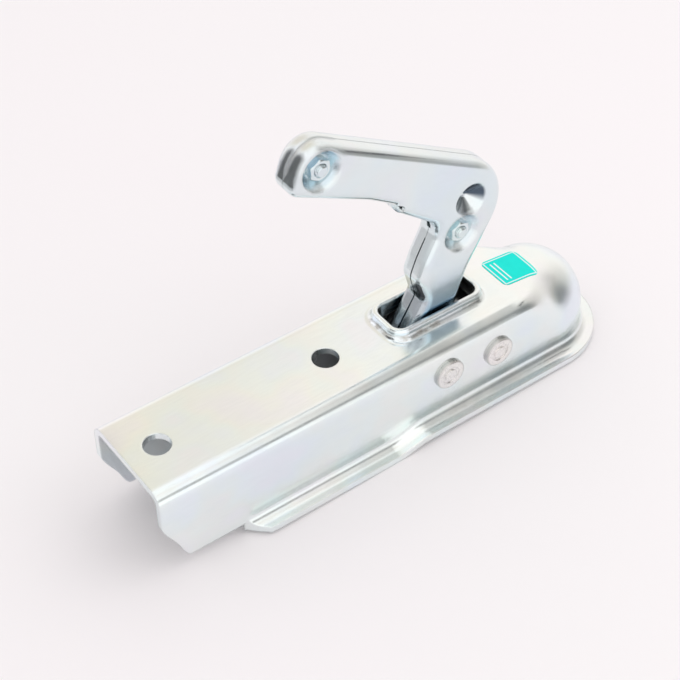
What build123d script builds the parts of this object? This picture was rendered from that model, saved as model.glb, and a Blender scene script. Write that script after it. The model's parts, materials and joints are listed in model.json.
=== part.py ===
"""Pressed-steel trailer coupling head for a square drawbar tube and a tow ball.

Millimetres. Origin at the centre of the ball socket, +X to the nose, +Z up.
The handle and the jaw stand in the open position.
"""
import os
from math import acos, atan2, cos, degrees, hypot, pi, radians, sin, sqrt

from build123d import *

os.makedirs("parts", exist_ok=True)

# Driving sizes
BALL_D = 50.0
BALL_PLAY = 0.2
SHEET = 3.8
TOP_Z = 32.0
BEND_R = 7.5
LENGTH_BEHIND_BALL = 238.5
FLANGE_WIDTH = 8.2
FLANGE_DROP = 13.1
JOGGLE = 3.3
WALL_DROP = 14.8
BOLT_HOLE_D = 13.5
BOLT_SPACING = 94.0
BOLT_FIRST = 16.9
COLLAR_H = 5.3
SLOT_LENGTH = 50.0
SLOT_WIDTH = 19.4
SLOT_R = 5.0
PIVOT_D = 12.0
PIVOT_SPAN = 31.3
PIVOT_STEP = 2.7
HANDLE_TILT = 29.75
HANDLE_TRAVEL = 34.0
JAW_RATIO = 1.0 / 3.0
HANDLE_THICK = 17.0
HANDLE_SHEET = 2.5
HANDLE_BEND = 4.8
GRIP_LENGTH = 133.3
GRIP_DEPTH = 25.2
GRIP_CORNER = 12.5
HANDLE_RISE = 103.7
FASTENER_D = 6.0
FOOT_R = 6.0
LIP_R = 6.0
REAR_CUT = ((-0.5, -19.0), (1.3, -24.5), (4.8, -31.0), (7.3, -35.6), (9.1, -40.0), (11.0, -44.2), (14.5, -47.5))

# Sizes that follow
R_IN = BALL_D / 2 + BALL_PLAY
R_OUT = R_IN + SHEET
REAR = -LENGTH_BEHIND_BALL
FLANGE_R = R_OUT + FLANGE_WIDTH
Z_FRONT = -FLANGE_DROP
Z_REAR = Z_FRONT - JOGGLE
TOP_IN = TOP_Z - SHEET
BLEND_X = -1.1 * R_OUT
DOME_RISE = 0.16 * SHEET
JAW_X = -43.2
PIVOT_Z = TOP_Z - 18.35
AX = JAW_X - PIVOT_SPAN
AZ = PIVOT_Z
BX = JAW_X
BZ = PIVOT_Z - PIVOT_STEP
RUN = 0.05
GAP = 0.3


def side(sketch, y0, y1):
    """Extrude a sketch of (x, z) points from y0 to y1."""
    return extrude(Plane.XZ.offset(-y1) * sketch, y1 - y0)


def cross(x, z, r, y0, y1):
    """Cylinder along Y."""
    return side(Pos(x, z) * Circle(r), y0, y1)


def rounded(points):
    """Face of a polygon whose corners (x, y, radius) are rounded."""
    n = len(points)
    ends = []
    arcs = []
    for i in range(n):
        px, py, _ = points[i - 1]
        cx, cy, r = points[i]
        nx, ny, _ = points[(i + 1) % n]
        ax, ay = px - cx, py - cy
        bx, by = nx - cx, ny - cy
        la, lb = hypot(ax, ay), hypot(bx, by)
        ax, ay, bx, by = ax / la, ay / la, bx / lb, by / lb
        half = acos(max(-1.0, min(1.0, ax * bx + ay * by))) / 2
        if r <= 0 or abs(half - pi / 2) < 1e-4:
            ends.append(((cx, cy), (cx, cy)))
            arcs.append(None)
            continue
        t = r * cos(half) / sin(half)
        mx, my = ax + bx, ay + by
        lm = hypot(mx, my)
        d = r / sin(half) - r
        ends.append(((cx + ax * t, cy + ay * t), (cx + bx * t, cy + by * t)))
        arcs.append((cx + mx / lm * d, cy + my / lm * d))
    edges = []
    for i in range(n):
        if arcs[i] is not None:
            edges.append(ThreePointArc(ends[i][0], arcs[i], ends[i][1]))
        a, b = ends[i][1], ends[(i + 1) % n][0]
        if hypot(a[0] - b[0], a[1] - b[1]) > 1e-6:
            edges.append(Line(a, b))
    return make_face(edges)


def strap(x0, z0, r0, x1, z1, r1):
    """Two discs and their common tangents."""
    d = hypot(x1 - x0, z1 - z0)
    base = atan2(z1 - z0, x1 - x0)
    a = acos((r0 - r1) / d)
    pts = []
    for x, z, r, s in ((x0, z0, r0, a), (x1, z1, r1, a), (x1, z1, r1, -a), (x0, z0, r0, -a)):
        pts.append((x + r * cos(base + s), z + r * sin(base + s)))
    web = make_face(Polyline(*pts, close=True))
    return web + Pos(x0, z0) * Circle(r0) + Pos(x1, z1) * Circle(r1)


def turned(x, z, deg):
    """Turn a point about the origin, forward to rear."""
    a = radians(deg)
    return x * cos(a) - z * sin(a), x * sin(a) + z * cos(a)


def save(name, shape):
    shape.label = name
    export_step(shape, "parts/" + name + ".step")


# Housing: channel, blend and dome
def arch(x, half, top, r):
    k = r * (1 - sqrt(0.5))
    edges = [
        Line((-half, 0), (-half, top - r)),
        ThreePointArc((-half, top - r), (-half + k, top - k), (-half + r, top)),
        Line((-half + r, top), (half - r, top)),
        ThreePointArc((half - r, top), (half - k, top - k), (half, top - r)),
        Line((half, top - r), (half, 0)),
        Line((half, 0), (-half, 0)),
    ]
    return Plane.YZ.offset(x) * make_face(edges)


def core(half, top, bend, rear, low):
    """Solid of the channel, the blend and the dome above z = low."""
    nose_r = 0.985 * half
    crown = half + DOME_RISE
    body = extrude(arch(rear, half, top, bend), BLEND_X - rear)
    sections = []
    for i in range(7):
        s = i / 6
        h = top + (crown - top) * s * s * (3 - 2 * s)
        r = bend + (nose_r - bend) * (1 - (1 - s ** 2.5) ** 1.5)
        sections.append(arch(BLEND_X * (1 - s), half, h, r))
    body += loft(sections)
    k = nose_r * (1 - sqrt(0.5))
    prof = make_face([
        Line((0, 0), (-half, 0)),
        Line((-half, 0), (-half, crown - nose_r)),
        ThreePointArc((-half, crown - nose_r), (-half + k, crown - k), (-half + nose_r, crown)),
        Line((-half + nose_r, crown), (0, crown)),
        Line((0, crown), (0, 0)),
    ])
    body += revolve(Plane.YZ * prof, Axis.Z, 180)
    plan = make_face([
        Line((0, -half), (rear, -half)),
        Line((rear, -half), (rear, half)),
        Line((rear, half), (0, half)),
        ThreePointArc((0, half), (half, 0), (0, -half)),
    ])
    return body + extrude(Plane.XY.offset(low) * plan, -low)


FX0 = REAR + 43.0
FX1 = REAR + 53.0
J0 = REAR + 128.5
J1 = REAR + 148.5
NOSE = FLANGE_R + 5


def flange_line(z_off):
    """Edges of the flange's side line from the rear end to the nose."""
    return [
        Line((FX0, Z_REAR + z_off), (J0, Z_REAR + z_off)),
        Spline((J0, Z_REAR + z_off), (J1, Z_FRONT + z_off), tangents=((1, 0), (1, 0))),
        Line((J1, Z_FRONT + z_off), (NOSE, Z_FRONT + z_off)),
    ]


LOW = Z_REAR - SHEET - 12
outer = core(R_OUT, TOP_Z, BEND_R, REAR, LOW)
band = make_face(flange_line(0) + flange_line(-SHEET) + [
    Line((FX0, Z_REAR), (FX0, Z_REAR - SHEET)),
    Line((NOSE, Z_FRONT), (NOSE, Z_FRONT - SHEET)),
])
plan = make_face([
    Line((FX0, -R_OUT + 1), (FX0, R_OUT - 1)),
    Line((FX0, R_OUT - 1), (FX1, FLANGE_R)),
    Line((FX1, FLANGE_R), (0, FLANGE_R)),
    ThreePointArc((0, FLANGE_R), (FLANGE_R, 0), (0, -FLANGE_R)),
    Line((0, -FLANGE_R), (FX1, -FLANGE_R)),
    Line((FX1, -FLANGE_R), (FX0, -R_OUT + 1)),
])
flange = side(band, -FLANGE_R - 1, FLANGE_R + 1) & extrude(Plane.XY.offset(LOW) * plan, 60)
below = make_face(flange_line(-SHEET) + [
    Line((FX0, Z_REAR - SHEET), (FX0, -WALL_DROP)),
    Line((FX0, -WALL_DROP), (REAR - 5, -WALL_DROP)),
    Line((REAR - 5, -WALL_DROP), (REAR - 5, LOW - 5)),
    Line((REAR - 5, LOW - 5), (NOSE, LOW - 5)),
    Line((NOSE, LOW - 5), (NOSE, Z_FRONT - SHEET)),
])
outer = outer - side(below, -R_OUT - 1, R_OUT + 1) + flange


def at_foot(e):
    """True for an edge where the wall meets the flange's upper face."""
    for t in (0.02, 0.35, 0.65, 0.98):
        p = e @ t
        d = abs(p.Y) if p.X < 0 else hypot(p.X, p.Y)
        if abs(d - R_OUT) > 0.05 or p.Z < Z_REAR - 0.1 or p.Z > Z_FRONT + 0.1 or p.X < FX0:
            return False
    return True


outer = fillet([e for e in outer.edges() if at_foot(e)], FOOT_R)

# Collar drawn up round the handle slot
SLOT_X1 = BX + 1.7
SLOT_X0 = SLOT_X1 - SLOT_LENGTH
SLOT_X = (SLOT_X0 + SLOT_X1) / 2
RIM = 3.0
RIM_Z = TOP_Z + COLLAR_H
rim_plan = Pos(SLOT_X, 0) * RectangleRounded(SLOT_LENGTH + 2 * RIM, SLOT_WIDTH + 2 * RIM, 1.5 * SLOT_R)
outer += extrude(Plane.XY.offset(TOP_IN + 1) * rim_plan, RIM_Z - TOP_IN - 1)


def in_plan(e, z, dx, dy):
    """True for an edge at height z within dx, dy of the slot's centre."""
    for t in (0.0, 0.5):
        p = e @ t
        if abs(p.Z - z) > 0.02 or abs(p.X - SLOT_X) > dx or abs(p.Y) > dy:
            return False
    return True


HX = SLOT_LENGTH / 2 + RIM + 0.1
HY = SLOT_WIDTH / 2 + RIM + 0.1
outer = fillet([e for e in outer.edges() if in_plan(e, TOP_Z, HX, HY)], 3.4)
outer = fillet([e for e in outer.edges() if in_plan(e, RIM_Z, HX, HY)], 1.6)

inner = core(R_IN, TOP_IN, BEND_R - SHEET, REAR - 2, LOW)
housing = outer - inner
slot_plan = Pos(SLOT_X, 0) * RectangleRounded(SLOT_LENGTH, SLOT_WIDTH, SLOT_R)
housing -= extrude(Plane.XY.offset(TOP_IN - 2) * slot_plan, COLLAR_H + 2.5 * SHEET)


def at_lip(e):
    """True for an edge where the inner wall meets the flange's lower face."""
    for t in (0.02, 0.35, 0.65, 0.98):
        p = e @ t
        d = abs(p.Y) if p.X < 0 else hypot(p.X, p.Y)
        if abs(d - R_IN) > 0.05 or p.X < FX0 - 0.01 or p.Z > Z_FRONT - SHEET + 0.1:
            return False
        if p.Z < Z_REAR - SHEET - 0.1:
            return False
    return abs((e @ 0).Z - (e @ 1).Z) < JOGGLE + 0.1 and e.length > 4 * SHEET


housing = fillet([e for e in housing.edges() if at_lip(e)], LIP_R)
housing = fillet([e for e in housing.edges() if in_plan(e, RIM_Z, HX - RIM, HY - RIM)], 1.2)

# Rear end of the side walls, bolt holes and pivot holes
cut = make_face([
    Spline(*[(REAR + x, TOP_Z + z) for x, z in REAR_CUT]),
    Line((REAR + REAR_CUT[-1][0], TOP_Z + REAR_CUT[-1][1]), (REAR - 5, TOP_Z + REAR_CUT[-1][1])),
    Line((REAR - 5, TOP_Z + REAR_CUT[-1][1]), (REAR - 5, TOP_Z + REAR_CUT[0][1])),
    Line((REAR - 5, TOP_Z + REAR_CUT[0][1]), (REAR + REAR_CUT[0][0], TOP_Z + REAR_CUT[0][1])),
])
housing -= side(cut, -R_OUT - 1, R_OUT + 1)
for i in range(2):
    housing -= Pos(REAR + BOLT_FIRST + i * BOLT_SPACING, 0, TOP_Z) * Cylinder(BOLT_HOLE_D / 2, 4 * SHEET)
housing -= cross(AX, AZ, PIVOT_D / 2, -R_OUT - 1, R_OUT + 1)
housing -= cross(BX, BZ, PIVOT_D / 2, -R_OUT - 1, R_OUT + 1)
save("housing", housing)

# Cross rivets with flat round heads on both walls
HEAD_D = 1.37 * PIVOT_D
HEAD_H = 2.0


def rivet(x, z):
    body = cross(x, z, PIVOT_D / 2, -R_OUT - 0.2, R_OUT + 0.2)
    for s in (-1, 1):
        y0, y1 = sorted((s * R_OUT, s * (R_OUT + HEAD_H)))
        head = cross(x, z, HEAD_D / 2, y0, y1)
        rim = [e for e in head.edges() if abs((e @ 0).Y - s * (R_OUT + HEAD_H)) < 0.01]
        head = fillet(rim, 0.9)
        y0, y1 = sorted((s * (R_OUT + HEAD_H - 0.5), s * (R_OUT + HEAD_H + 1)))
        head -= cross(x, z, 0.30 * HEAD_D, y0, y1) - cross(x, z, 0.20 * HEAD_D, y0, y1)
        body += head
    return body


save("handle_pivot_rivet", rivet(AX, AZ))
save("jaw_pivot_rivet", rivet(BX, BZ))

# Spacer tubes and bushes on the rivets
TUBE_R = PIVOT_D / 2 + 2.5
HALF = HANDLE_THICK / 2
JAW_BOSS = 14.0
END = R_IN - 0.1
for name, s in (("left", 1), ("right", -1)):
    for part, x, z, y_in in (("handle", AX, AZ, HALF + 0.2), ("jaw", BX, BZ, JAW_BOSS + 0.2)):
        y0, y1 = sorted((s * y_in, s * END))
        tube = cross(x, z, TUBE_R, y0, y1) - cross(x, z, PIVOT_D / 2 + RUN, y0, y1)
        save(part + "_spacer_" + name, tube)
BUSH_R = PIVOT_D / 2 + 2.0
save("handle_pivot_bush", cross(AX, AZ, BUSH_R, -HALF, HALF) - cross(AX, AZ, PIVOT_D / 2 + RUN, -HALF, HALF))
save("jaw_bush", cross(BX, BZ, BUSH_R, -JAW_BOSS, JAW_BOSS)
     - cross(BX, BZ, PIVOT_D / 2 + RUN, -JAW_BOSS, JAW_BOSS))

# Handle: outline with the grip level and the pivot at the origin
GRIP_Z = HANDLE_RISE - GRIP_DEPTH
FRONT = 4.2
LEG_REAR = FRONT - 31.0
FOOT_REAR = FRONT - 19.0
LEDGE_Z = 27.0
STEP_X = LEG_REAR - 34.0
outline = rounded([
    (-GRIP_LENGTH + 0.6, HANDLE_RISE, GRIP_CORNER),
    (FRONT, HANDLE_RISE, 28.0),
    (FRONT, 48.0, 60.0),
    (FRONT + 4.6, 27.0, 20.0),
    (FRONT + 4.6, -2.0, 0.0),
    (FOOT_REAR, -2.0, 5.0),
    (FOOT_REAR, LEDGE_Z, 5.0),
    (LEG_REAR + 2.3, LEDGE_Z + 9.5, 9.0),
    (LEG_REAR + 0.4, 47.0, 30.0),
    (LEG_REAR - 1.0, GRIP_Z - 10.2, 10.0),
    (STEP_X, GRIP_Z - 5.2, 4.8),
    (STEP_X - 4.6, GRIP_Z - 1.2, 3.0),
    (STEP_X - 22.0, GRIP_Z, 40.0),
    (-GRIP_LENGTH + 2.4, GRIP_Z - 2.0, 6.0),
    (-GRIP_LENGTH, GRIP_Z + 10.5, 12.0),
])
CAM_R = 5.0
CAM_X, CAM_Z = turned(4.0, -19.0, HANDLE_TILT)
foot = strap(0, 0, 12.0, CAM_X, CAM_Z, 8.6)
OPEN_Z = 13.0
pocket = offset(outline, -HANDLE_SHEET)
pocket -= Pos(0, OPEN_Z - 50) * Rectangle(300, 100)
pocket += Pos(FOOT_REAR + HANDLE_SHEET + 30, OPEN_Z - 50) * Rectangle(60, 100)
SEAM = 0.15
SKIN = HALF - HANDLE_SHEET
DISH = 2.2
SEAT_R = 10.4
SEAT_FLOOR_R = 6.4
LOCK_FLOOR = HALF - 6.0
LOCK_R = 9.4
LOCK_FLOOR_R = 1.6
DISH_LIP = 1.8
BOSS_WALL = 0.6
BOSS_FOOT = 1.6
GRIP_SEAT = (-GRIP_LENGTH + 12.8, HANDLE_RISE - 12.2)
LEG_SEAT = (FRONT - 17.8, 66.5)
LOCK_SEAT = (FRONT - 23.1, 84.4)
# Gap between the halves at the inner corner, and the bend's relief notch
corner_gap = Pos(LEG_REAR - 4.7, GRIP_Z - 11.6) * Rot(0, 0, -42) * Rectangle(8.6, 8.0)
leg_gap = Pos(LEG_REAR, 28.0) * Rectangle(30, 60)
NOTCH = (STEP_X - 1.2, GRIP_Z - 3.0)


def dish(x, z, r_top, r_floor, floor, lip):
    """Round dish along Y from its floor to the outer face, with a rounded lip."""
    wide = r_top + 3 * lip
    half_section = rounded([
        (0, floor, 0),
        (r_floor, floor, 0.8),
        (r_top, HALF, lip),
        (wide, HALF + 0.03, 0),
        (wide, HALF + 1, 0),
        (0, HALF + 1, 0),
    ])
    return Pos(x, 0, z) * revolve(half_section, Axis.Y)


def boss(x, z, r_top, r_floor, floor):
    """Cone along Y that backs a dish with sheet."""
    h = SKIN + 0.5 - floor
    return Pos(x, floor + h / 2, z) * Rot(-90, 0, 0) * Cone(r_floor, r_top, h)


def handle_half():
    body = side(outline, SEAM, HALF)
    rim = [e for e in body.edges() if all(abs((e @ t).Y - HALF) < 0.01 for t in (0, 0.5, 1))]
    body = fillet(rim, HANDLE_BEND)
    body += side(foot, SEAM, HALF)
    body -= side(pocket, -1, SKIN)
    body -= side(corner_gap, -1, 1.3)
    body -= side(leg_gap, -1, 0.4)
    body -= cross(*NOTCH, 2.6, SKIN - 3.5, HALF + 1)
    dishes = [
        (*GRIP_SEAT, SEAT_R, SEAT_FLOOR_R, DISH),
        (*LEG_SEAT, SEAT_R, SEAT_FLOOR_R, DISH),
        (*LOCK_SEAT, LOCK_R, LOCK_FLOOR_R, LOCK_FLOOR),
    ]
    for x, z, r_top, r_floor, floor in dishes:
        body += boss(x, z, r_top + BOSS_WALL, r_floor + BOSS_FOOT, max(0.0, floor - HANDLE_SHEET))
    for x, z, r_top, r_floor, floor in dishes:
        body -= dish(x, z, r_top, r_floor, floor, DISH_LIP)
    for x, z in (GRIP_SEAT, LEG_SEAT):
        body -= cross(x, z, FASTENER_D / 2 + 0.2, -1, HALF)
    body -= cross(0, 0, BUSH_R, -1, HALF + 1)
    body -= cross(CAM_X, CAM_Z, 4.0, -1, HALF + 1)
    return body


POSE = Pos(AX, 0, AZ) * Rot(0, HANDLE_TILT, 0)
half = handle_half()
save("handle_half_left", POSE * half)
save("handle_half_right", POSE * mirror(half, Plane.XZ))

# Cam pin in the foot of the handle
pin = cross(CAM_X, CAM_Z, CAM_R, -SKIN + 0.1, SKIN - 0.1) + cross(CAM_X, CAM_Z, 4.0, -HALF, HALF)
pin += cross(CAM_X, CAM_Z, 5.5, HALF, HALF + 2.0) + cross(CAM_X, CAM_Z, 5.5, -HALF - 2.0, -HALF)
save("cam_pin", POSE * pin)

# Fasteners in the dished seats
HEX = 1.667 * FASTENER_D
for name, (x, z) in (("grip", GRIP_SEAT), ("leg", LEG_SEAT)):
    hexagon = Pos(x, z) * RegularPolygon(HEX / sqrt(3), 6)
    bolt = side(hexagon, DISH, DISH + 4.0) + cross(x, z, FASTENER_D / 2, -HALF - 0.2, DISH)
    save(name + "_bolt", POSE * bolt)
    washer = cross(x, z, 5.9, -DISH - 1.0, -DISH) - cross(x, z, FASTENER_D / 2 + 0.2, -DISH - 1.0, -DISH)
    save(name + "_washer", POSE * washer)
    nut = side(hexagon, -DISH - 5.0, -DISH - 1.0) - cross(x, z, FASTENER_D / 2, -DISH - 5.0, -DISH - 1.0)
    save(name + "_nut", POSE * nut)

# Locking jaw: cup, boss and tongue
JAW_TRAVEL = HANDLE_TRAVEL * JAW_RATIO
POLE = JAW_RATIO / (1 - JAW_RATIO)
PX = AX - (BX - AX) * POLE
PZ = AZ - (BZ - AZ) * POLE
JAW_LOW = -BALL_D / 2 + 11.4
cam = []
for i in range(7):
    deg = HANDLE_TRAVEL * (i - 0.6) / 5
    cx, cz = turned(4.0, -19.0, deg)
    cx, cz = AX + cx, AZ + cz
    d = hypot(cx - PX, cz - PZ)
    kx = cx + (CAM_R + GAP) * (cx - PX) / d
    kz = cz + (CAM_R + GAP) * (cz - PZ) / d
    kx, kz = turned(kx - BX, kz - BZ, -deg * JAW_RATIO)
    cam.append((BX + kx, BZ + kz))
tongue = make_face([
    Spline(*cam),
    Line(cam[-1], (BX - 9.0, BZ - 4.0)),
    Line((BX - 9.0, BZ - 4.0), (BX, BZ - 3.0)),
    Line((BX, BZ - 3.0), (BX + 3.0, JAW_LOW + 1.1)),
    Line((BX + 3.0, JAW_LOW + 1.1), cam[0]),
])
TONGUE_W = 2 * SKIN - 1.4
ox, oz = turned(-BX, -BZ, -JAW_TRAVEL)
ball = Pos(BX + ox, 0, BZ + oz) * Sphere(R_IN + 0.1)
cup = rounded([
    (BX - 4.0, BZ - 5.0, 0.0),
    (BX + 18.0, BZ - 3.0, 3.0),
    (BX + 26.0, -4.0, 0.0),
    (BX + 26.0, JAW_LOW, 0.0),
    (BX + 1.0, JAW_LOW, 4.0),
])
CUP_W = 38.0
jaw = side(cup, -CUP_W / 2, CUP_W / 2)
jaw -= cross(BX, BZ, TUBE_R + 2.0, JAW_BOSS, R_OUT) + cross(BX, BZ, TUBE_R + 2.0, -R_OUT, -JAW_BOSS)
jaw += cross(BX, BZ, BUSH_R + 3.0, -JAW_BOSS, JAW_BOSS)
jaw += side(tongue, -TONGUE_W / 2, TONGUE_W / 2)
jaw -= ball
jaw -= cross(BX, BZ, BUSH_R, -JAW_BOSS - 1, JAW_BOSS + 1)
save("locking_jaw", jaw)

# Closing springs: square wire on the handle's spacer tubes
WIRE = 2.8
COIL_R = TUBE_R + WIRE / 2 + 0.3
TURNS = 3
PITCH = 1.18 * WIRE
COIL_Y = HALF + 0.5 + WIRE / 2
PIN_HEAD_R = 5.5
reach = hypot(4.0, 19.0)
lean = acos((COIL_R - PIN_HEAD_R - WIRE / 2 - 0.05) / reach)
START = atan2(-19.0, 4.0) - lean
LEG_DOWN = sqrt(reach ** 2 - (COIL_R - PIN_HEAD_R - WIRE / 2) ** 2) + 2.0
PLATE = TOP_IN - AZ - 0.1
LEG_UP = (PLATE - COIL_R * sin(START) + WIRE / 2 * sin(START)) / -cos(START)


def spring():
    coil = sweep(
        Plane(origin=(COIL_R, 0, 0), z_dir=(0, 2 * pi * COIL_R, PITCH)) * Rectangle(WIRE, WIRE),
        path=Helix(PITCH, PITCH * TURNS, COIL_R),
        is_frenet=True,
    )
    coil += Pos(COIL_R, -LEG_DOWN / 2, 0) * Box(WIRE, LEG_DOWN, WIRE)
    coil += Pos(COIL_R, LEG_UP / 2, PITCH * TURNS) * Box(WIRE, LEG_UP, WIRE)
    return Pos(0, COIL_Y, 0) * Rot(-90, 0, 0) * Rot(0, 0, -degrees(START)) * coil


coil = spring()
save("closing_spring_left", Pos(AX, 0, AZ) * coil)
save("closing_spring_right", Pos(AX, 0, AZ) * mirror(coil, Plane.XZ))
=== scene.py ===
import json
from math import cos, pi, radians, sin, tan

import bmesh
import bpy
from mathutils import Euler, Matrix, Vector
from mathutils.bvhtree import BVHTree

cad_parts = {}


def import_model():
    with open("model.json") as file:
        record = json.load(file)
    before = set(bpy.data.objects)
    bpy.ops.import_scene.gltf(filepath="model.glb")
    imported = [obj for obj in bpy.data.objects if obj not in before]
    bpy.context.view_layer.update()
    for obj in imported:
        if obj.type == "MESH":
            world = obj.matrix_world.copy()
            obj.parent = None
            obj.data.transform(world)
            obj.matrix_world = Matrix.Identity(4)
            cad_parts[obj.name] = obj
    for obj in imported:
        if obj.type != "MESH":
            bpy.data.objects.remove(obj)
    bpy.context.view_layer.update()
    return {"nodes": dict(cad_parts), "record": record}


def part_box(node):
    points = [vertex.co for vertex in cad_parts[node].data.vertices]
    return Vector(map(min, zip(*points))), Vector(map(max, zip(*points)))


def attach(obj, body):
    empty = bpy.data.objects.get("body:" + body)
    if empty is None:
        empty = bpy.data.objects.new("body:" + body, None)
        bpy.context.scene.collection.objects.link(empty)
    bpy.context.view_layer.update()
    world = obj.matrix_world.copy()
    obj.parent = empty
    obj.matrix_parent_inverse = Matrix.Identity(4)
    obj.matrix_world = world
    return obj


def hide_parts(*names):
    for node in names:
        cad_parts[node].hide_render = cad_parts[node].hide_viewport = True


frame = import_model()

MM = 0.001
scene = bpy.context.scene
scene.view_settings.view_transform = "Standard"


# Node helpers
def add(tree, kind, **settings):
    """Add a node and set its properties."""
    node = tree.nodes.new(kind)
    for key, value in settings.items():
        setattr(node, key, value)
    return node


def feed(tree, socket, value):
    """Link a socket to an output, or set its constant."""
    if isinstance(value, bpy.types.NodeSocket):
        tree.links.new(value, socket)
    else:
        socket.default_value = value


def calc(tree, operation, a, b=0.0):
    """Result of an operation on one or two values."""
    node = add(tree, "ShaderNodeMath", operation=operation)
    feed(tree, node.inputs[0], a)
    feed(tree, node.inputs[1], b)
    return node.outputs[0]


def times(tree, *values):
    """Product of values."""
    result = values[0]
    for value in values[1:]:
        result = calc(tree, "MULTIPLY", result, value)
    return result


def rest_of(tree, mask):
    """1 where a mask is 0, and 0 where it is 1."""
    return calc(tree, "SUBTRACT", 1.0, mask)


def vector(tree, operation, *values):
    """Outputs of an operation on vectors."""
    node = add(tree, "ShaderNodeVectorMath", operation=operation)
    for socket, value in zip(node.inputs, values):
        feed(tree, socket, value)
    return node.outputs


def dot(tree, a, b):
    """Dot product of two vectors."""
    return vector(tree, "DOT_PRODUCT", a, b)["Value"]


def axes(tree, place):
    """X, Y and Z of a vector."""
    node = add(tree, "ShaderNodeSeparateXYZ")
    tree.links.new(place, node.inputs[0])
    return node.outputs["X"], node.outputs["Y"], node.outputs["Z"]


def ramp_to(tree, value, low, high, out_low=0.0, out_high=1.0):
    """Smooth step of a value from one range to another."""
    node = add(tree, "ShaderNodeMapRange", interpolation_type="SMOOTHSTEP")
    feed(tree, node.inputs["Value"], value)
    node.inputs["From Min"].default_value = low
    node.inputs["From Max"].default_value = high
    node.inputs["To Min"].default_value = out_low
    node.inputs["To Max"].default_value = out_high
    return node.outputs["Result"]


def mix_colour(tree, factor, a, b, blend="MIX"):
    """Colour a that turns to b with the factor."""
    node = add(tree, "ShaderNodeMix", data_type="RGBA", blend_type=blend)
    feed(tree, node.inputs["Factor"], factor)
    feed(tree, node.inputs["A"], a)
    feed(tree, node.inputs["B"], b)
    return node.outputs["Result"]


def noise(tree, place, scale, detail=2.0, rough=0.5, stretch=None):
    """Noise over a place, stretched along the axes where asked."""
    if stretch:
        mapping = add(tree, "ShaderNodeMapping")
        tree.links.new(place, mapping.inputs["Vector"])
        mapping.inputs["Scale"].default_value = stretch
        place = mapping.outputs["Vector"]
    node = add(tree, "ShaderNodeTexNoise")
    tree.links.new(place, node.inputs["Vector"])
    node.inputs["Scale"].default_value = scale
    node.inputs["Detail"].default_value = detail
    node.inputs["Roughness"].default_value = rough
    return node.outputs["Fac"]


def colour_ramp(tree, factor, stops):
    """Colour of a factor from stops of place and tone."""
    node = add(tree, "ShaderNodeValToRGB")
    while len(node.color_ramp.elements) < len(stops):
        node.color_ramp.elements.new(0.5)
    for element, (place, tone) in zip(node.color_ramp.elements, stops):
        element.position = place
        element.color = (*tone, 1.0)
    tree.links.new(factor, node.inputs["Fac"])
    return node.outputs["Color"]


def bump(tree, strength, depth, height, normal):
    """Normal with a relief laid over it."""
    node = add(tree, "ShaderNodeBump")
    node.inputs["Strength"].default_value = strength
    node.inputs["Distance"].default_value = depth
    tree.links.new(height, node.inputs["Height"])
    tree.links.new(normal, node.inputs["Normal"])
    return node.outputs["Normal"]


def new_material(name):
    """Material with its tree, its shader and its coordinates."""
    material = bpy.data.materials.new(name)
    material.use_nodes = True
    tree = material.node_tree
    shader = tree.nodes["Principled BSDF"]
    coords = add(tree, "ShaderNodeTexCoord").outputs
    return material, tree, shader, coords


def middle(node):
    """Centre of a node's box."""
    low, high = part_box(node)
    return (Vector(low) + Vector(high)) / 2


# Masks for round recesses along Y
RECESS_LIP = 0.85


def recess(tree, coords, centre, radius):
    """Offset from an axis along Y through a centre, and a mask of the round recess about it."""
    level = (1.0, 0.0, 1.0)
    offset = vector(tree, "MULTIPLY_ADD", coords["Object"], level, (-centre.x, 0.0, -centre.z))["Vector"]
    reach = vector(tree, "LENGTH", offset)["Value"]
    return offset, ramp_to(tree, reach, radius, RECESS_LIP * radius)


# Housing: painted shade and a rougher finish inside, fading to its open rear end, and a broken line of
# grime in the collar's foot
INSIDE_AXIS_Z = -40.0 * MM
INSIDE_TURN = (-4.0 * MM, -10.0 * MM)
INSIDE_UNDER_Z = (29.5 * MM, 27.0 * MM)
INSIDE_FADE_X = (-140.0 * MM, -72.0 * MM)
INSIDE_REACH = (30.0 * MM, 27.5 * MM)
INSIDE_SHADE_TONE = (0.07, 0.072, 0.075, 1.0)
INSIDE_ROUGHER = 0.35
GRIME_FROM_Z = (32.1 * MM, 32.7 * MM)
GRIME_TO_Z = (35.6 * MM, 33.6 * MM)
GRIME = {"scale": 90.0, "detail": 4.0, "rough": 0.65}
GRIME_RANGE = (0.44, 0.66)
GRIME_MOST = 0.75
GRIME_TONE = (0.34, 0.315, 0.27, 1.0)


def inside_shade_mask(tree, coords):
    """1 deep in the channel on faces that look at its axis, 0 at its rear end and on outer faces."""
    x, y, z = axes(tree, coords["Object"])
    across = (0.0, 1.0, 1.0)
    reach = vector(tree, "MULTIPLY_ADD", coords["Object"], across, (0.0, 0.0, -INSIDE_AXIS_Z))["Vector"]
    inward = ramp_to(tree, dot(tree, reach, coords["Normal"]), *INSIDE_TURN)
    under = ramp_to(tree, z, *INSIDE_UNDER_Z)
    deep_in = ramp_to(tree, x, *INSIDE_FADE_X)
    ahead = calc(tree, "MAXIMUM", x, 0.0)
    beside = calc(tree, "SQRT", calc(tree, "ADD", times(tree, ahead, ahead), times(tree, y, y)))
    within = ramp_to(tree, beside, *INSIDE_REACH)
    return times(tree, inward, under, deep_in, within)


def grime_mask(tree, coords):
    """Broken line in the foot of the collar."""
    z = axes(tree, coords["Object"])[2]
    foot = times(tree, ramp_to(tree, z, *GRIME_FROM_Z), ramp_to(tree, z, *GRIME_TO_Z))
    broken = ramp_to(tree, noise(tree, coords["Object"], **GRIME), *GRIME_RANGE, 0.0, GRIME_MOST)
    return times(tree, foot, broken)


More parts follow.
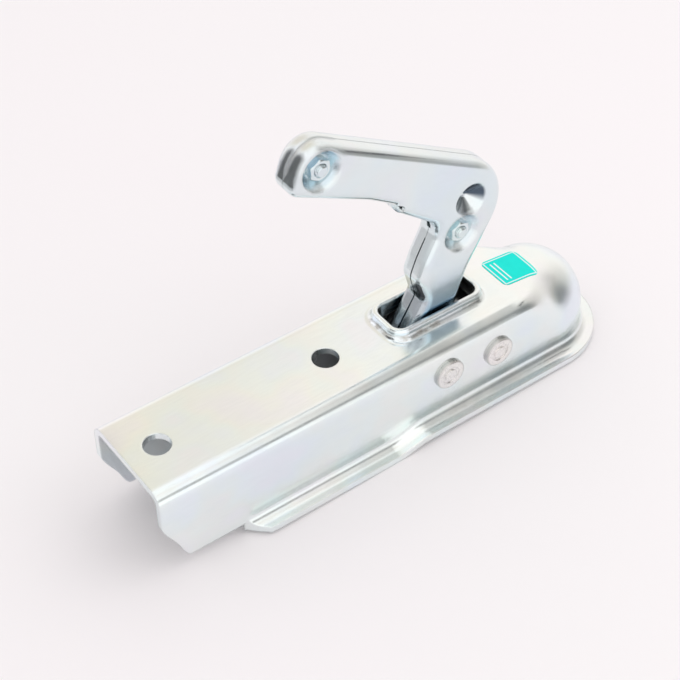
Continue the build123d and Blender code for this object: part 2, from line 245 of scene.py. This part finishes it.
def housing_shade(tree, coords, colour, spread):
    """Colour of the housing with its grime and the painted shade inside, and its roughness."""
    colour = mix_colour(tree, grime_mask(tree, coords), colour, GRIME_TONE)
    # painted shade: faces inside the channel darkened towards near-black, and made rougher
    inside_shade = inside_shade_mask(tree, coords)
    colour = mix_colour(tree, inside_shade, colour, INSIDE_SHADE_TONE)
    return colour, calc(tree, "ADD", spread, times(tree, inside_shade, INSIDE_ROUGHER))


# Housing: edges just broken, and a wider blend of the light where the dome starts
EDGE_SOFT = 1.1 * MM
DOME_SOFT = 9.0 * MM
DOME_X = (-22.0 * MM, -6.0 * MM)
DOME_Z = (4.0 * MM, 14.0 * MM)


def housing_edge(tree, coords):
    """Radius to which the housing's edges look rounded."""
    x, _, z = axes(tree, coords["Object"])
    dome = times(tree, ramp_to(tree, x, *DOME_X), ramp_to(tree, z, *DOME_Z))
    return ramp_to(tree, dome, 0.0, 1.0, EDGE_SOFT, DOME_SOFT)


# Handle: painted deep shade in the lock's cone, painted blue shade in the seats of its fasteners, a
# painted dark blue reflection on its sides towards its foot and a painted grey reflection on its low faces
# that don't face sideways
SEAT_SHARES = {"grip_bolt": 0.7, "leg_bolt": 0.3}
SEAT_R = 10.2 * MM
SEAT_SHADE_BLUE = (0.62, 0.75, 0.83, 1.0)
LOCK_AT = Vector((-49.0 * MM, 0.0, 96.3 * MM))
LOCK_R = 9.2 * MM
LOCK_UPWARD = Vector((0.64, 0.0, 0.77))
LOCK_TOP = (0.05, 0.65)
LOCK_BOTTOM = (-0.75, -0.95)
LOCK_BOTTOM_SHARE = 0.6
LOCK_SHADE = (0.09, 0.12, 0.16, 1.0)
SIDE_TURN = (0.75, 0.95)
FOOT_Z = (64.0 * MM, 26.0 * MM)
FOOT_REFLECTION_BLUE = (0.22, 0.37, 0.50, 1.0)
HEEL_Z = (60.0 * MM, 48.0 * MM)
HEEL_SHARE = 0.7
HEEL_REFLECTION_GREY = (0.36, 0.39, 0.43, 1.0)


def handle_shade(tree, coords, colour, spread):
    """Colour of the handle with its painted shade and painted reflections, and its roughness."""
    for bolt, share in SEAT_SHARES.items():
        _, seat = recess(tree, coords, middle(bolt), SEAT_R)
        # painted shade: the seats of the fasteners turned darker and bluer
        colour = mix_colour(tree, times(tree, seat, share), colour, SEAT_SHADE_BLUE)
    offset, cone = recess(tree, coords, LOCK_AT, LOCK_R)
    upward = dot(tree, vector(tree, "NORMALIZE", offset)["Vector"], LOCK_UPWARD)
    top = ramp_to(tree, upward, *LOCK_TOP)
    bottom = ramp_to(tree, upward, *LOCK_BOTTOM, 0.0, LOCK_BOTTOM_SHARE)
    shaded = times(tree, cone, calc(tree, "MAXIMUM", top, bottom))
    colour = mix_colour(tree, shaded, colour, LOCK_SHADE)
    z = axes(tree, coords["Object"])[2]
    facing_y = axes(tree, coords["Normal"])[1]
    side = ramp_to(tree, calc(tree, "ABSOLUTE", facing_y), *SIDE_TURN)
    foot = times(tree, side, ramp_to(tree, z, *FOOT_Z))
    heel = times(tree, rest_of(tree, side), ramp_to(tree, z, *HEEL_Z), HEEL_SHARE)
    # painted reflection: side faces turning dark blue towards the foot
    colour = mix_colour(tree, foot, colour, FOOT_REFLECTION_BLUE)
    # painted reflection: low faces that don't face sideways turning grey
    return mix_colour(tree, heel, colour, HEEL_REFLECTION_GREY), spread


# Handle: edges just broken, and a wide soft lip round the seats of its fasteners
HANDLE_SOFT = 0.5 * MM
SEAT_SOFT = 3.2 * MM
SEAT_REACH = 15.0 * MM


def handle_edge(tree, coords):
    """Radius to which the handle's edges look rounded."""
    near = 0.0
    for bolt in SEAT_SHARES:
        _, seat = recess(tree, coords, middle(bolt), SEAT_REACH)
        near = calc(tree, "MAXIMUM", near, seat)
    return ramp_to(tree, near, 0.0, 1.0, HANDLE_SOFT, SEAT_SOFT)


# Rivets: a painted shadow ring round a paler middle
RIVET_SKIRT = 3.0 * MM
RIVET_SHARE = 0.8
RIVET_SHADOW_GREY = (0.50, 0.50, 0.49, 1.0)


def rivet_shade(tree, coords, colour, spread):
    """Colour of the rivets with a painted shadow ring, and their roughness."""
    for rivet in ("handle_pivot_rivet", "jaw_pivot_rivet"):
        low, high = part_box(rivet)
        radius = (high[0] - low[0]) / 2
        _, face = recess(tree, coords, middle(rivet), radius)
        _, shoulder = recess(tree, coords, middle(rivet), radius + RIVET_SKIRT)
        rim = times(tree, shoulder, rest_of(tree, face), RIVET_SHARE)
        # painted shadow: a darker ring round each head
        colour = mix_colour(tree, rim, colour, RIVET_SHADOW_GREY)
    return colour, spread


# Plated steel: soft colour drift, faint iridescence, fine drawing lines
TINTS = (
    (0.0, (1.0, 0.95, 0.97)),
    (0.3, (1.0, 0.985, 0.92)),
    (0.55, (0.96, 1.0, 0.95)),
    (0.8, (0.94, 0.98, 1.0)),
    (1.0, (0.98, 0.95, 1.0)),
)
DRIFT = {"scale": 14.0, "detail": 3.0, "rough": 0.55}
DRIFT_RANGE = (0.32, 0.68)
SHEEN = {"scale": 26.0, "detail": 2.0, "rough": 0.6}
SHEEN_RANGE = (0.25, 0.75)
STREAKS = {"scale": 160.0, "detail": 3.0, "rough": 0.6}
STREAK_RANGE = (0.3, 0.8)
STREAK_SHARE = 0.08
STREAK_ROUGHER = 0.15
MARK = (0.55, 0.56, 0.58)
CLOUD = {"scale": 45.0, "detail": 4.0, "rough": 0.6}
CLOUD_RANGE = (0.3, 0.7)
CLOUD_ROUGH = (0.8, 1.2)
PITS = {"scale": 1000.0, "detail": 3.0, "rough": 0.6}
PIT_RANGE = (0.48, 0.68)
WAVES = {"scale": 55.0, "detail": 1.0}
WAVE_DEPTH = 0.15 * MM
GRAIN = {"scale": 900.0, "detail": 2.0, "rough": 0.6}
GRAIN_DEPTH = 0.02 * MM
DRAWN_LINES = (1.0, 12.0, 12.0)
ROUND_MARKS = (6.0, 6.0, 6.0)
FORGED_MARKS = (3.0, 3.0, 3.0)
SMALL_SOFT = 0.5 * MM


def small_edge(tree, coords):
    """Radius to which the edges of small pieces look rounded."""
    return SMALL_SOFT


def plated(name, pale, deep, rough, tint=0.6, wave=0.4, grain=0.1, lines=DRAWN_LINES, mottle=0.0,
           shade=None, edge=small_edge):
    """Plating between two tones.

    lines stretches the drawing marks, mottle adds pits, shade adds grime, painted shade and painted
    reflections to places and dulls some of them, and edge softens edges.
    """
    material, tree, shader, coords = new_material(name)
    place = coords["Object"]
    drift = ramp_to(tree, noise(tree, place, **DRIFT), *DRIFT_RANGE)
    colour = mix_colour(tree, drift, (*pale, 1.0), (*deep, 1.0))
    sheen = colour_ramp(tree, ramp_to(tree, noise(tree, place, **SHEEN), *SHEEN_RANGE), TINTS)
    colour = mix_colour(tree, tint, colour, mix_colour(tree, 1.0, colour, sheen, "MULTIPLY"))
    streaks = noise(tree, place, **STREAKS, stretch=lines)
    mark = (*(share * tone for share, tone in zip(MARK, pale)), 1.0)
    colour = mix_colour(tree, ramp_to(tree, streaks, *STREAK_RANGE, 0.0, STREAK_SHARE), colour, mark)
    cloud = noise(tree, place, **CLOUD)
    clouded = ramp_to(tree, cloud, *CLOUD_RANGE, CLOUD_ROUGH[0] * rough, CLOUD_ROUGH[1] * rough)
    streaked = ramp_to(tree, streaks, *STREAK_RANGE, 0.0, STREAK_ROUGHER * rough)
    spread = calc(tree, "ADD", clouded, streaked)
    if mottle:
        pits = ramp_to(tree, noise(tree, place, **PITS), *PIT_RANGE, 0.0, mottle)
        colour = mix_colour(tree, pits, colour, mark)
    if shade:
        colour, spread = shade(tree, coords, colour, spread)
    soft_edge = add(tree, "ShaderNodeBevel")
    feed(tree, soft_edge.inputs["Radius"], edge(tree, coords))
    normal = bump(tree, wave, WAVE_DEPTH, noise(tree, place, **WAVES), soft_edge.outputs["Normal"])
    normal = bump(tree, grain, GRAIN_DEPTH, noise(tree, place, **GRAIN), normal)
    shader.inputs["Metallic"].default_value = 1.0
    tree.links.new(colour, shader.inputs["Base Color"])
    tree.links.new(spread, shader.inputs["Roughness"])
    tree.links.new(normal, shader.inputs["Normal"])
    return material


FINISHES = {
    "plated_housing": plated("housing_zinc", (0.89, 0.94, 0.965), (0.85, 0.905, 0.95), 0.18,
                             shade=housing_shade, edge=housing_edge),
    "plated_handle": plated("handle_zinc", (0.80, 0.86, 0.90), (0.76, 0.83, 0.885), 0.17,
                            tint=0.5, wave=0.25, shade=handle_shade, edge=handle_edge),
    "rivet_steel": plated("rivet_steel", (0.93, 0.91, 0.90), (0.84, 0.82, 0.81), 0.30,
                          tint=0.3, wave=0.5, grain=0.9, lines=ROUND_MARKS, mottle=0.5, shade=rivet_shade),
    "fastener_zinc": plated("fastener_zinc", (0.80, 0.88, 0.91), (0.69, 0.80, 0.85), 0.14, wave=0.1),
    "inner_steel": plated("inner_steel", (0.30, 0.30, 0.29), (0.22, 0.22, 0.22), 0.36, tint=0.2),
    "spring_steel": plated("spring_steel", (0.30, 0.31, 0.32), (0.22, 0.23, 0.24), 0.3, tint=0.1),
    "jaw_steel": plated("jaw_zinc", (0.62, 0.63, 0.63), (0.50, 0.52, 0.54), 0.34,
                        tint=0.5, wave=1.0, grain=1.0, lines=FORGED_MARKS),
}
slots = {part["node"]: part["material_slot"] for part in frame["record"]["subparts"]}
for name, node in frame["nodes"].items():
    node.data.materials.clear()
    node.data.materials.append(FINISHES[slots[name]])

# Floor: the coupling rests on the rear flange's front end and on its nose
REST_X = -110.0 * MM
REST_Z = -20.2 * MM
FLOOR_SLOPE = 0.0224
FLOOR_SIZE = 0.6
FLOOR_CENTRE = (-0.06, 0.10)
FLOOR_GAP = 0.05 * MM
FLOOR_CLOUD = {"scale": 3.0}
FLOOR_CLOUD_RANGE = (0.3, 0.7)
FLOOR_TONES = ((0.90, 0.866, 0.876, 1.0), (0.895, 0.871, 0.876, 1.0))
FLOOR_ROUGH = 0.6
FLOOR_SPECULAR = 0.2
FLOOR_GLOW = (0.93, 0.895, 0.905, 1.0)
FLOOR_GLOW_SHARE = 0.035
floor_mesh = bpy.data.meshes.new("floor")
build = bmesh.new()
bmesh.ops.create_grid(build, x_segments=1, y_segments=1, size=FLOOR_SIZE)
for vert in build.verts:
    vert.co.x += FLOOR_CENTRE[0]
    vert.co.y += FLOOR_CENTRE[1]
    vert.co.z = REST_Z + (vert.co.x - REST_X) * FLOOR_SLOPE - FLOOR_GAP
build.to_mesh(floor_mesh)
build.free()
floor = bpy.data.objects.new("floor", floor_mesh)
scene.collection.objects.link(floor)
floor_paint, tree, shader, coords = new_material("floor_paint")
shader.inputs["Roughness"].default_value = FLOOR_ROUGH
shader.inputs["Specular IOR Level"].default_value = FLOOR_SPECULAR
shader.inputs["Emission Color"].default_value = FLOOR_GLOW
shader.inputs["Emission Strength"].default_value = FLOOR_GLOW_SHARE
cloudy = ramp_to(tree, noise(tree, coords["Object"], **FLOOR_CLOUD), *FLOOR_CLOUD_RANGE)
tree.links.new(mix_colour(tree, cloudy, *FLOOR_TONES), shader.inputs["Base Color"])
floor_mesh.materials.append(floor_paint)

# Studio: even pale light all round, and for the metal to mirror a surround with a dark near side and arch
PLAIN = (0.97, 0.955, 0.96, 1.0)
BACKDROP = (0.937, 0.894, 0.904, 1.0)
SURROUND = (1.10, 1.03, 0.98, 1.0)
FAR_LEFT = (0.92, 0.84, 0.72, 1.0)
NEAR_LEFT = (1.20, 1.17, 1.15, 1.0)
SKIRT = (0.67, 0.635, 0.60, 1.0)
NEAR_DARK = (0.25, 0.247, 0.243, 1.0)
ARCH_DARK = (0.30, 0.295, 0.29, 1.0)
OVERHEAD = (1.15, 1.12, 1.09, 1.0)
BELOW = (0.95, 0.92, 0.93, 1.0)
world = bpy.data.worlds.new("studio")
scene.world = world
world.use_nodes = True
sky = world.node_tree
direction = add(sky, "ShaderNodeTexCoord").outputs["Generated"]
sky_z = axes(sky, direction)[2]


def heading(azimuth, elevation):
    """Direction from its azimuth and elevation in degrees."""
    a = radians(azimuth)
    e = radians(elevation)
    return Vector((cos(e) * cos(a), cos(e) * sin(a), sin(e)))


def patch(azimuth, elevation, inner, outer):
    """1 within inner degrees of a heading, 0 beyond outer degrees."""
    along = dot(sky, direction, heading(azimuth, elevation))
    return ramp_to(sky, along, cos(radians(outer)), cos(radians(inner)))


def arch(azimuth, elevation, radius, spread):
    """1 on the ring at radius degrees round a heading, 0 beyond spread degrees to either side of it."""
    inside = patch(azimuth, elevation, radius, radius + spread)
    hollow = patch(azimuth, elevation, radius - spread, radius)
    return calc(sky, "SUBTRACT", inside, hollow)


def past(azimuth, width):
    """0 to 1 across the upright plane at an azimuth, turning to the left of it."""
    return ramp_to(sky, dot(sky, direction, heading(azimuth + 90, 0)), -width, width)


def before(azimuth, width):
    """1 to 0 across the upright plane at an azimuth, turning to the left of it."""
    return rest_of(sky, past(azimuth, width))


def above(low, high):
    """0 to 1 between two elevations in degrees."""
    return ramp_to(sky, sky_z, sin(radians(low)), sin(radians(high)))


# Panels of the studio, placed in degrees, each laid over the ones before it
PANELS = (
    (FAR_LEFT, (past(56, 0.15), above(8, 40))),
    (NEAR_LEFT, (before(-63, 0.07),)),
    (SKIRT, (patch(-43, 10, 8, 62), past(-44, 0.12))),
    (ARCH_DARK, (arch(-5, 10, 51.5, 6), past(-63, 0.07), before(14, 0.12))),
    (NEAR_DARK, (patch(-48, 14, 4, 32), past(-62.5, 0.05))),
    (ARCH_DARK, (patch(-67, 26, 3, 10),)),
    (OVERHEAD, (above(62, 68),)),
    (BELOW, (above(-6, -14),)),
)
light = SURROUND
for tone, masks in PANELS:
    light = mix_colour(sky, times(sky, *masks), light, tone)
rays = add(sky, "ShaderNodeLightPath").outputs
light = mix_colour(sky, rays["Is Glossy Ray"], PLAIN, light)
light = mix_colour(sky, rays["Is Camera Ray"], light, BACKDROP)
background = sky.nodes["Background"]
sky.links.new(light, background.inputs["Color"])
background.inputs["Strength"].default_value = 1.0

# Key light from the near side, which the metal doesn't mirror
KEY_REACH = 1.2
KEY_FROM = heading(azimuth=-50, elevation=55) * KEY_REACH
KEY_AT = Vector((-0.1, 0.0, 0.0))
KEY_SIZE = 0.9
KEY_WATTS = 1.5
key_data = bpy.data.lights.new("key", "AREA")
key_data.shape = "DISK"
key_data.size = KEY_SIZE
key_data.energy = KEY_WATTS
key = bpy.data.objects.new("key", key_data)
key.location = KEY_FROM
key.rotation_euler = (KEY_AT - KEY_FROM).to_track_quat("-Z", "Y").to_euler()
key.visible_glossy = False
scene.collection.objects.link(key)

# Cards that only show mirrored in the metal: centre, reach, turns in degrees, heights and tone
CARDS = {
    "card_behind": (Vector((-0.145, 0.0, 0.0)), 0.11, (126.0, 208.0), (0.115, 0.30), 0.12),
    "card_beyond": (Vector((-0.09, 0.0, 0.0)), 0.255, (-33.0, -14.0), (0.172, 0.212), 0.12),
    "card_low": (Vector((-0.06, 0.0, 0.0)), 0.30, (122.0, 200.0), (-0.01, 0.10), 0.66),
}
CARD_STEPS = 24
CARD_ROUGH = 0.9
FELT = {"scale": 300.0}
FELT_TONES = (0.9, 1.1)


def card_paint(name, tone):
    """Felt of a grey tone."""
    paint, tree, shader, coords = new_material(name)
    felt = noise(tree, coords["Object"], **FELT)
    grey = ramp_to(tree, felt, 0.0, 1.0, FELT_TONES[0] * tone, FELT_TONES[1] * tone)
    tree.links.new(grey, shader.inputs["Base Color"])
    shader.inputs["Roughness"].default_value = CARD_ROUGH
    return paint


def card(name, centre, reach, turns, heights, tone):
    """Upright card bent round a centre, from one turn and height to another."""
    mesh = bpy.data.meshes.new(name)
    build = bmesh.new()
    posts = []
    for step in range(CARD_STEPS + 1):
        turn = turns[0] + (turns[1] - turns[0]) * step / CARD_STEPS
        foot = centre + heading(turn, 0) * reach
        posts.append([build.verts.new((foot.x, foot.y, z)) for z in heights])
    for first, second in zip(posts, posts[1:]):
        build.faces.new((first[0], second[0], second[1], first[1]))
    build.to_mesh(mesh)
    build.free()
    mesh.materials.append(card_paint(name, tone))
    piece = bpy.data.objects.new(name, mesh)
    scene.collection.objects.link(piece)
    piece.visible_camera = False
    piece.visible_diffuse = False
    piece.visible_shadow = False


for name, sizes in CARDS.items():
    card(name, *sizes)

# Fasteners in the handle: hexagons with chamfered corners and threaded bolt ends
HANDLE_TILT = radians(29.75)
HEX_ACROSS = 10.0 * MM
HEX_ROUND = 0.985
HEAD_SHARE = 0.4
CHAMFER = radians(30)
FACE_SHARE = 0.94
THREAD_R = 3.0 * MM
THREAD_PITCH = 1.0 * MM
THREAD_DEPTH = 0.55 * MM
THREAD_STEPS = 8
TIP_BREAK = 0.3 * MM
TIP_R = THREAD_R - THREAD_DEPTH - TIP_BREAK
TIP_SLOPE = 1.2
BORE_LEAD = 0.5 * MM
AROUND = 96
SHARP_FROM = radians(28)


def hex_radius(angle):
    """Radius of the hexagon's outline, its corners just broken."""
    turn = (angle + pi / 6) % (pi / 3) - pi / 6
    flat = HEX_ACROSS / 2 / cos(pi / 6 - abs(turn))
    return min(flat, HEX_ROUND * HEX_ACROSS / 2 / cos(pi / 6))


def hex_rows(low, high):
    """Rows up the outside of a hexagon from face to face, with both faces chamfered to a circle."""
    face = FACE_SHARE * HEX_ACROSS / 2

    def drop(angle):
        """Height that the chamfer takes off at an angle."""
        return (hex_radius(angle) - face) * tan(CHAMFER)

    return [
        lambda a: (face, low),
        lambda a: (hex_radius(a), low + drop(a)),
        lambda a: (hex_radius(a), high - drop(a)),
        lambda a: (face, high),
    ]


def thread_row(y, tip):
    """One row of a helical thread, fading into the cone of the bolt's tip."""
    def row(angle):
        """Radius and height at an angle."""
        wave = (y / THREAD_PITCH + angle / (2 * pi)) % 1.0
        radius = THREAD_R - THREAD_DEPTH * (1 - abs(2 * wave - 1))
        return min(radius, TIP_R + (y - tip) * TIP_SLOPE), y
    return row


def turned(name, rows, centre, bored):
    """Solid from rows of radius and height about an axis along Y, tilted with the handle."""
    mesh = bpy.data.meshes.new(name)
    build = bmesh.new()
    rings = []
    for row in rows:
        ring = []
        for step in range(AROUND):
            angle = 2 * pi * step / AROUND
            radius, y = row(angle)
            x = radius * cos(angle - HANDLE_TILT)
            z = radius * sin(angle - HANDLE_TILT)
            ring.append(build.verts.new((centre.x + x, y, centre.z + z)))
        rings.append(ring)
    pairs = list(zip(rings, rings[1:]))
    if bored:
        pairs.append((rings[-1], rings[0]))
    for first, second in pairs:
        for step in range(AROUND):
            after = (step + 1) % AROUND
            build.faces.new((first[step], second[step], second[after], first[after]))
    if not bored:
        build.faces.new(rings[0])
        build.faces.new(rings[-1])
    bmesh.ops.recalc_face_normals(build, faces=build.faces)
    build.to_mesh(mesh)
    build.free()
    mesh.polygons.foreach_set("use_smooth", [True] * len(mesh.polygons))
    mesh.set_sharp_from_angle(angle=SHARP_FROM)
    return mesh


def fastener(name, node, rows, bored):
    """Place a turned fastener over its plain solid."""
    piece = bpy.data.objects.new(name, turned(name, rows, middle(node), bored))
    piece.data.materials.append(FINISHES["fastener_zinc"])
    scene.collection.objects.link(piece)
    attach(piece, "handle")
    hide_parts(node)


def span_y(node):
    """Lowest and highest Y of a node."""
    low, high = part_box(node)
    return low[1], high[1]


def nut_rows(node):
    """Hexagon with a countersunk bore that the thread fills."""
    low, high = span_y(node)
    return hex_rows(low, high) + [
        lambda a: (THREAD_R + BORE_LEAD, high),
        lambda a: (THREAD_R, high - BORE_LEAD),
        lambda a: (THREAD_R, low + BORE_LEAD),
        lambda a: (THREAD_R + BORE_LEAD, low),
    ]


def bolt_rows(node, washer):
    """Threaded shank from its tip to the washer, then plain up to a hexagon head."""
    low, high = span_y(node)
    seat = high - HEAD_SHARE * HEX_ACROSS
    count = int((span_y(washer)[1] - low) / THREAD_PITCH * THREAD_STEPS)
    rows = [thread_row(low + step * THREAD_PITCH / THREAD_STEPS, low) for step in range(count)]
    rows.append(lambda a: (THREAD_R, low + count * THREAD_PITCH / THREAD_STEPS))
    rows.append(lambda a: (THREAD_R, seat))
    return rows + hex_rows(seat, high)


for place in ("grip", "leg"):
    fastener(place + "_nut_form", place + "_nut", nut_rows(place + "_nut"), True)
    fastener(place + "_bolt_form", place + "_bolt", bolt_rows(place + "_bolt", place + "_washer"), False)

# Label: plain pad on the top of the dome's blend, with a pale rim and two pale stripes
LABEL_X = (-25.4 * MM, -3.0 * MM)
LABEL_Y = (-11.8 * MM, 8.9 * MM)
LABEL_R = 3.0 * MM
LABEL_LIFT = 0.12 * MM
LABEL_STEPS = 44
LABEL_ABOVE = 60.0 * MM
LABEL_WELD = 1e-6
LABEL_MOTTLE = {"scale": 220.0, "detail": 3.0}
LABEL_TEALS = ((0.006, 0.76, 0.65, 1.0), (0.010, 0.84, 0.73, 1.0))
LABEL_PALE = (0.80, 0.90, 0.88, 1.0)
LABEL_ROUGH = 0.5
LABEL_SPECULAR = 0.12
RIM_FROM = (0.425, 0.435)
RIM_TO = (0.465, 0.455)
STRIPES_AT = 0.24
STRIPES_APART = 0.055
STRIPE_WIDTH = (0.022, 0.016)
STRIPE_LENGTH = (0.345, 0.335)
housing = frame["nodes"]["housing"]
skin_verts = [vert.co for vert in housing.data.vertices]
skin_faces = [face.vertices for face in housing.data.polygons]
skin = BVHTree.FromPolygons(skin_verts, skin_faces)


def label_spot(u, v):
    """Place on the label from its shares along X and Y, with the corners drawn in to a round."""
    wide = LABEL_X[1] - LABEL_X[0]
    deep = LABEL_Y[1] - LABEL_Y[0]
    dx = max(abs(u - 0.5) * wide - (wide / 2 - LABEL_R), 0.0)
    dy = max(abs(v - 0.5) * deep - (deep / 2 - LABEL_R), 0.0)
    reach = (dx * dx + dy * dy) ** 0.5
    if dx > 0 and dy > 0 and reach > LABEL_R:
        u = 0.5 + (1 if u > 0.5 else -1) * (wide / 2 - LABEL_R + dx * LABEL_R / reach) / wide
        v = 0.5 + (1 if v > 0.5 else -1) * (deep / 2 - LABEL_R + dy * LABEL_R / reach) / deep
    over = Vector((LABEL_X[0] + u * wide, LABEL_Y[0] + v * deep, LABEL_ABOVE))
    spot, normal, _, _ = skin.ray_cast(over, Vector((0, 0, -1)))
    return spot + normal * LABEL_LIFT, u, v


def label_mesh():
    """Rounded rectangle laid on the housing, with UVs over its box."""
    mesh = bpy.data.meshes.new("label")
    build = bmesh.new()
    uv = build.loops.layers.uv.new("UVMap")
    grid = []
    for i in range(LABEL_STEPS + 1):
        row = []
        for j in range(LABEL_STEPS + 1):
            spot, u, v = label_spot(i / LABEL_STEPS, j / LABEL_STEPS)
            row.append((build.verts.new(spot), u, v))
        grid.append(row)
    for i in range(LABEL_STEPS):
        for j in range(LABEL_STEPS):
            corners = [grid[i][j], grid[i + 1][j], grid[i + 1][j + 1], grid[i][j + 1]]
            face = build.faces.new([c[0] for c in corners])
            face.smooth = True
            for loop, corner in zip(face.loops, corners):
                loop[uv].uv = corner[1:]
    bmesh.ops.dissolve_degenerate(build, dist=LABEL_WELD, edges=build.edges)
    build.to_mesh(mesh)
    build.free()
    return mesh


def apart(tree, value, place):
    """Distance of a value from a place."""
    return calc(tree, "ABSOLUTE", calc(tree, "SUBTRACT", value, place))


label = bpy.data.objects.new("label", label_mesh())
scene.collection.objects.link(label)
label_paint, tree, shader, coords = new_material("label_paint")
label_u, label_v, _ = axes(tree, add(tree, "ShaderNodeUVMap").outputs["UV"])
along = apart(tree, label_v, 0.5)
edge = calc(tree, "MAXIMUM", apart(tree, label_u, 0.5), along)
rim = times(tree, ramp_to(tree, edge, *RIM_FROM), ramp_to(tree, edge, *RIM_TO))
bars = apart(tree, apart(tree, label_u, STRIPES_AT), STRIPES_APART)
stripe = times(tree, ramp_to(tree, bars, *STRIPE_WIDTH), ramp_to(tree, along, *STRIPE_LENGTH))
teal = mix_colour(tree, noise(tree, coords["Object"], **LABEL_MOTTLE), *LABEL_TEALS)
printed = mix_colour(tree, calc(tree, "MAXIMUM", rim, stripe), teal, LABEL_PALE)
tree.links.new(printed, shader.inputs["Base Color"])
shader.inputs["Roughness"].default_value = LABEL_ROUGH
shader.inputs["Specular IOR Level"].default_value = LABEL_SPECULAR
label.data.materials.append(label_paint)
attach(label, "housing")

# Camera at the photograph's view
EYE = Vector((-0.45404, -0.46363, 0.59653))
TILT = radians(45.3920)
ROLL = radians(0.1743)
TURN = radians(-36.0662)
FRAME_PX = 680.0
FOCAL_PX = 1677.98
SHIFT_PX = (-0.86, 10.06)
SENSOR_MM = 36.0
NEAREST = 0.01
cam_data = bpy.data.cameras.new("camera")
cam_data.sensor_width = SENSOR_MM
cam_data.lens = FOCAL_PX * SENSOR_MM / FRAME_PX
cam_data.shift_x = SHIFT_PX[0] / FRAME_PX
cam_data.shift_y = SHIFT_PX[1] / FRAME_PX
cam_data.clip_start = NEAREST
camera = bpy.data.objects.new("camera", cam_data)
camera.matrix_world = Matrix.Translation(EYE) @ Euler((TILT, ROLL, TURN)).to_matrix().to_4x4()
scene.collection.objects.link(camera)
scene.camera = camera
